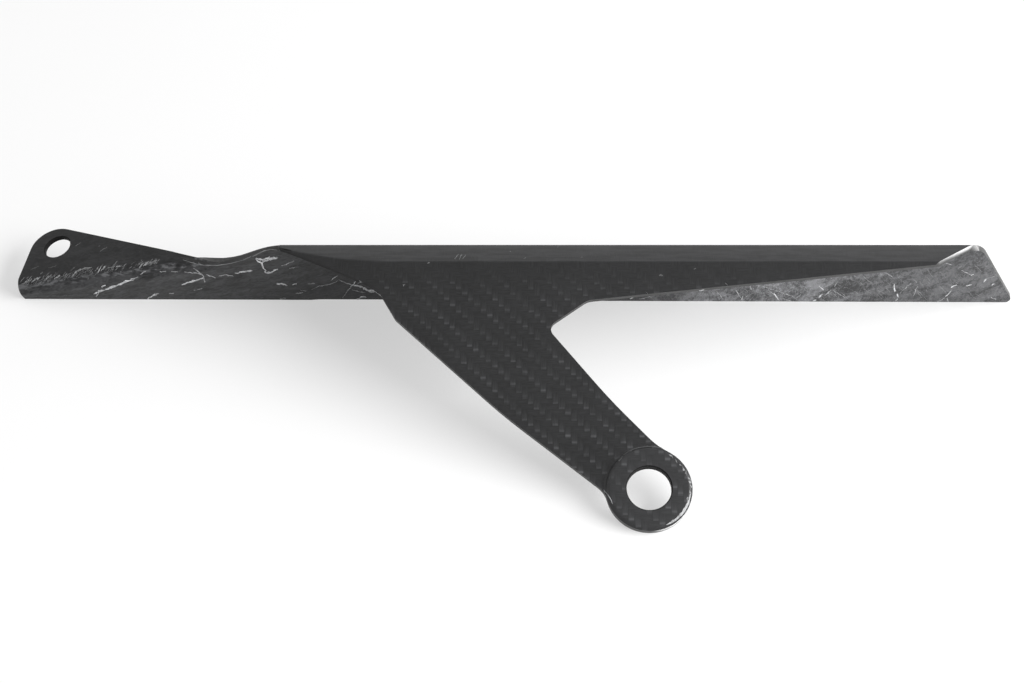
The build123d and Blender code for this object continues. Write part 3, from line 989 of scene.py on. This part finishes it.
def kept_in(point):
    """A point moved back where it stands proud of the guard's front plane by more than a hair."""
    return Vector((point.x, max(point.y, cad_box[0][1] - HAIR), point.z))


def ridge_section(hits, index, stroke):
    """The four corners of a ridge at one of its hits: its two sides, its top and its root."""
    place, normal = hits[index][:2]
    before = hits[max(0, index - 1)][0]
    after = hits[min(len(hits) - 1, index + 1)][0]
    side = normal.cross(after - before).normalized()
    swell = TAPER_LEAST + (1.0 - TAPER_LEAST) * sin(pi * (index + 0.5) / len(hits)) ** 0.5
    swell *= max(SWELL_LEAST, 1.0 + stroke.rag * noise.noise(place / SWELL_SPAN))
    half = side * stroke.width * swell / 2
    sunk = normal * stroke.height / 2
    top = place + normal * stroke.height * swell
    root = place - sunk * 2 - normal * ROOT
    return place + half - sunk, top, place - half - sunk, root


def add_ridge(mesh, hits, stroke):
    """A low ridge along hits on the guard, closed all round and sunk a little into it."""
    layer = mesh.verts.layers.float["pale"]
    sections = []
    for index in range(len(hits)):
        corners = ridge_section(hits, index, stroke)
        sections.append([mesh.verts.new(kept_in(corner)) for corner in corners])
    for near, far in zip(sections, sections[1:]):
        for corner in range(4):
            other = (corner + 1) % 4
            mesh.faces.new((near[corner], near[other], far[other], far[corner]))
    mesh.faces.new(reversed(sections[0]))
    mesh.faces.new(sections[-1])
    for section in sections:
        for vert in section:
            vert[layer] = stroke.pale


def make_marks(name, tree, strokes):
    """One piece of low ridges, laid where the rays of each stroke meet the guard."""
    mesh = bmesh.new()
    mesh.verts.layers.float.new("pale")
    for stroke in strokes:
        hits = [hit for hit in (tree.ray_cast(*ray) for ray in stroke.rays) if hit[0] is not None]
        for run in unbroken(hits):
            add_ridge(mesh, run, stroke)
    bmesh.ops.recalc_face_normals(mesh, faces=mesh.faces)
    marks = add_piece(name, mesh, [crease_material()])
    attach(marks, "root")


def dress_shell(shell):
    """Creases of the resin on the bag's side, some of them painted glints too, and scratches, chips and
    painted highlights on the mould's side.
    """
    mesh = bmesh.new()
    mesh.from_mesh(shell.data)
    tree = BVHTree.FromBMesh(mesh)
    mesh.free()
    dice = random.Random(CREASE_SEED)
    creases = placed_strokes(CREASE_KINDS)
    for kind in (
        (BEND_FURROWS_AND_GLINTS, furrow_rays, FURROW_WIDTH, FURROW_HEIGHT, FURROW_PALE),
        (WEDGE_SCRATCHES, scratch_rays, SCRATCH_WIDTH, SCRATCH_HEIGHT, SCRATCH_PALE),
        (HIDDEN_CREASES, hidden_rays, HIDDEN_WIDTH, HIDDEN_HEIGHT, HIDDEN_PALE),
    ):
        creases += random_strokes(dice, *kind)
    make_marks("resin_creases_and_glints", tree, creases)
    make_marks("flaws_and_highlights", tree, placed_strokes(FLAW_KINDS))


def make_camera():
    """The photograph's camera."""
    data = bpy.data.cameras.new("camera")
    data.lens = LENS
    data.sensor_width = SENSOR
    data.clip_start = CLIP_START
    camera = bpy.data.objects.new("camera", data)
    camera.location = EYE
    camera.rotation_mode = "QUATERNION"
    camera.rotation_quaternion = VIEW_RUN.to_track_quat("-Z", "Y")
    bpy.context.scene.collection.objects.link(camera)
    bpy.context.scene.camera = camera


def seen_directly(shader):
    """One for a ray from the camera, or from a mirror or glass, and otherwise nought."""
    path = shader.add("LightPath").outputs
    mirrored = shader.math("MAXIMUM", path["Is Glossy Ray"], path["Is Transmission Ray"])
    return shader.math("MAXIMUM", path["Is Camera Ray"], mirrored)


def floor_material():
    """White paper, which is clear from behind."""
    material = bpy.data.materials.new("floor")
    shader = Shader(material)
    shader.tree.nodes.clear()
    paper = shader.fit(shader.noise(shader.position(), 3.0), 0.3, 0.7, 0.93, 0.95)
    matt = shader.add("BsdfDiffuse", {"Color": shader.grey(paper)}).outputs[0]
    white = shader.add("Emission", {"Strength": 1.0}).outputs[0]
    share = shader.times(seen_directly(shader), TABLE_WHITENESS)
    front = shader.add("MixShader", {0: share, 1: matt, 2: white}).outputs[0]
    clear = shader.add("BsdfTransparent").outputs[0]
    is_back = shader.add("NewGeometry").outputs["Backfacing"]
    sided = shader.add("MixShader", {0: is_back, 1: front, 2: clear}).outputs[0]
    shader.add("OutputMaterial", {"Surface": sided})
    return material


def make_floor():
    """The table top, which only shows from the side that the guard lies on."""
    data = bpy.data.meshes.new("floor")
    across = TABLE_AWAY.cross(TABLE_OUT).normalized()
    signs = ((-1, -1), (1, -1), (1, 1), (-1, 1))
    corners = [TABLE_FOOT + (across * x + TABLE_AWAY * y) * TABLE_HALF for x, y in signs]
    data.from_pydata(corners, [], [(0, 1, 2, 3)])
    if data.polygons[0].normal.dot(TABLE_OUT) < 0:
        data.flip_normals()
    data.materials.append(floor_material())
    table = bpy.data.objects.new("floor", data)
    bpy.context.scene.collection.objects.link(table)


def make_light(name, place, size, power):
    """A soft box that faces the guard, at a place in table terms: right, away and out from the aim."""
    right, away, out = place
    data = bpy.data.lights.new(name, "AREA")
    data.shape = "RECTANGLE"
    data.size = size[0]
    data.size_y = size[1]
    data.energy = power
    offset = ALONG * right + TABLE_AWAY * away + TABLE_OUT * out
    back = offset.normalized()
    side = TABLE_OUT.cross(back).normalized()
    lamp = bpy.data.objects.new(name, data)
    lamp.location = AIM + offset
    lamp.rotation_mode = "QUATERNION"
    lamp.rotation_quaternion = Matrix((side, back.cross(side), back)).transposed().to_quaternion()
    bpy.context.scene.collection.objects.link(lamp)


def make_world():
    """Even white surroundings, which light the guard less than they show."""
    world = bpy.data.worlds.new("studio")
    bpy.context.scene.world = world
    shader = Shader(world)
    background = shader.tree.nodes["Background"]
    strength = shader.fit(seen_directly(shader), 0.0, 1.0, SKY_FILL, SKY_SEEN)
    shader.feed(background.inputs["Strength"], strength)
    background.inputs["Color"].default_value = (1, 1, 1, 1)


dress_shell(make_shell())
make_camera()
make_floor()
make_world()
make_light("right_box", KEY_PLACE, KEY_SIZE, KEY_POWER)
make_light("left_box", FILL_PLACE, FILL_SIZE, FILL_POWER)
bpy.context.scene.view_settings.view_transform = "Standard"
